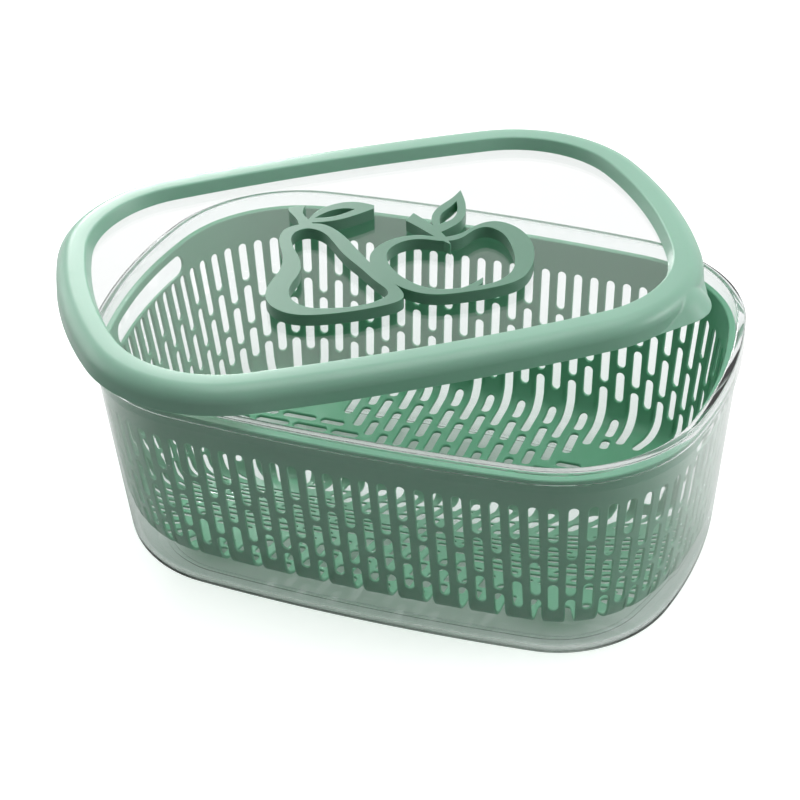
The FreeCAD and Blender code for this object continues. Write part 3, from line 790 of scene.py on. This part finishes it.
def ground():
    """A broad flat sheet."""
    half_size, rows = 4.0, 41
    grid = np.linspace(-half_size, half_size, rows)
    x, y = np.meshgrid(grid, grid, indexing="ij")
    points = np.stack([x, y, 0 * x], -1).reshape(-1, 3)
    mesh = bpy.data.meshes.new("ground")
    mesh.from_pydata(points, [], grid_faces(rows, rows, False, False)[:, ::-1].tolist())
    piece = bpy.data.objects.new("ground", mesh)
    bpy.context.scene.collection.objects.link(piece)
    material = bpy.data.materials.new("white_sweep")
    material.use_nodes = True
    tree = material.node_tree
    shader = tree.nodes["Principled BSDF"]
    place = add_node(tree, "ShaderNodeTexCoord").outputs["Object"]
    fibre = add_node(tree, "ShaderNodeTexNoise", Vector=place, Scale=300.0, Detail=3.0)
    bump = add_node(tree, "ShaderNodeBump", Strength=0.05, Distance=0.0002, Height=fibre.outputs["Fac"])
    shader.inputs["Roughness"].default_value = 0.9
    shader.inputs["Specular IOR Level"].default_value = 0.1
    tree.links.new(bump.outputs["Normal"], shader.inputs["Normal"])
    albedo, mirrored_loss, bounced_loss = 0.76, 0.55, 0.38
    seen_glow, through_glow = 0.55, 0.03
    path = tree.nodes.new("ShaderNodeLightPath")
    mirrored = combined(tree, "SUBTRACT", path.outputs["Is Glossy Ray"], path.outputs["Is Transmission Ray"],
                        clamp=True)
    side = add_node(tree, "ShaderNodeSeparateXYZ", Vector=place)
    front = add_node(tree, "ShaderNodeMapRange", Value=side.outputs["Y"], From_Min=-0.12, From_Max=0.05,
                     To_Min=1.0, To_Max=0.0)
    in_front = combined(tree, "MULTIPLY", mirrored, front.outputs["Result"])
    darker = combined(tree, "MULTIPLY_ADD", in_front, -mirrored_loss, albedo)
    colour = combined(tree, "MULTIPLY_ADD", path.outputs["Is Diffuse Ray"], -bounced_loss, darker)
    tree.links.new(colour, shader.inputs["Base Color"])
    through = combined(tree, "MULTIPLY", path.outputs["Is Transmission Ray"], through_glow)
    direct = combined(tree, "MULTIPLY", path.outputs["Is Camera Ray"], seen_glow)
    shader.inputs["Emission Color"].default_value = (1, 1, 1, 1)
    tree.links.new(combined(tree, "ADD", through, direct), shader.inputs["Emission Strength"])
    mesh.materials.append(material)
    return piece


ground()


# Light. Soft lamps on the left, on the right and overhead, a small one
# behind that shines through the slots, and a pale surround that is brighter
# behind the object than in front of it.

def lamp(name, place, size, power):
    """A white area lamp that looks at the middle of the object."""
    middle = Vector((0, 0, 0.08))
    data = bpy.data.lights.new(name, "AREA")
    data.shape, data.size, data.size_y = "RECTANGLE", size[0], size[1]
    data.energy = power
    made = bpy.data.objects.new(name, data)
    made.location = place
    made.rotation_euler = (middle - Vector(place)).to_track_quat("-Z", "Y").to_euler()
    bpy.context.scene.collection.objects.link(made)


lamp("key", (-1.35, 0.15, 0.45), (1.2, 0.8), 5)
lamp("back", (-0.90, 1.28, 0.62), (0.5, 0.3), 9)
lamp("right", (1.40, 0.45, 0.60), (0.8, 0.6), 7)
lamp("above", (0.15, 0.05, 1.50), (1.2, 1.2), 10)


def surround():
    """White where the camera looks straight or through clear plastic, else a grey that rises to the back."""
    world = bpy.data.worlds.new("surround")
    bpy.context.scene.world = world
    world.use_nodes = True
    tree = world.node_tree
    back = tree.nodes["Background"]
    path = tree.nodes.new("ShaderNodeLightPath")
    seen = combined(tree, "MAXIMUM", path.outputs["Is Camera Ray"], path.outputs["Is Transmission Ray"])
    way = add_node(tree, "ShaderNodeTexCoord").outputs["Generated"]
    axes = add_node(tree, "ShaderNodeSeparateXYZ", Vector=way)
    slope = add_node(tree, "ShaderNodeMapRange", Value=axes.outputs["Y"], From_Min=-0.8, From_Max=0.9,
                     To_Min=0.10, To_Max=1.05)
    ceiling = add_node(tree, "ShaderNodeMapRange", Value=axes.outputs["Z"], From_Min=0.66, From_Max=0.95,
                       To_Min=1.0, To_Max=1.2, interpolation_type="SMOOTHSTEP")
    soft = combined(tree, "MULTIPLY", slope.outputs["Result"], ceiling.outputs["Result"])
    strength = add_node(tree, "ShaderNodeMapRange", Value=seen, To_Min=soft, To_Max=1.0)
    back.inputs["Color"].default_value = (1, 1, 1, 1)
    tree.links.new(strength.outputs["Result"], back.inputs["Strength"])


surround()


# Camera. The photograph's angle, with a long lens at about 1.1 m, found by
# fitting the bin's, the basket's and the lid's outlines.

def camera():
    """A long lens that looks down at the object from the near right."""
    data = bpy.data.cameras.new("camera")
    made = bpy.data.objects.new("camera", data)
    azimuth, elevation, roll, distance = math.radians(21.16), math.radians(34.18), math.radians(-2.13), 1.0977
    target = Vector((-0.0126, 0.0058, 0.0627))
    back = Vector((math.sin(azimuth) * math.cos(elevation), -math.cos(azimuth) * math.cos(elevation),
                   math.sin(elevation)))
    right = (-back).cross(Vector((0, 0, 1))).normalized()
    up = right.cross(-back)
    right_rolled = right * math.cos(roll) + up * math.sin(roll)
    up_rolled = up * math.cos(roll) - right * math.sin(roll)
    turn = Matrix((right_rolled, up_rolled, back)).transposed().to_4x4()
    made.matrix_world = Matrix.Translation(target + back * distance) @ turn
    data.sensor_width, data.lens = 36.0, 102.2
    bpy.context.scene.collection.objects.link(made)
    bpy.context.scene.camera = made


camera()

bpy.context.scene.view_settings.view_transform = "Standard"
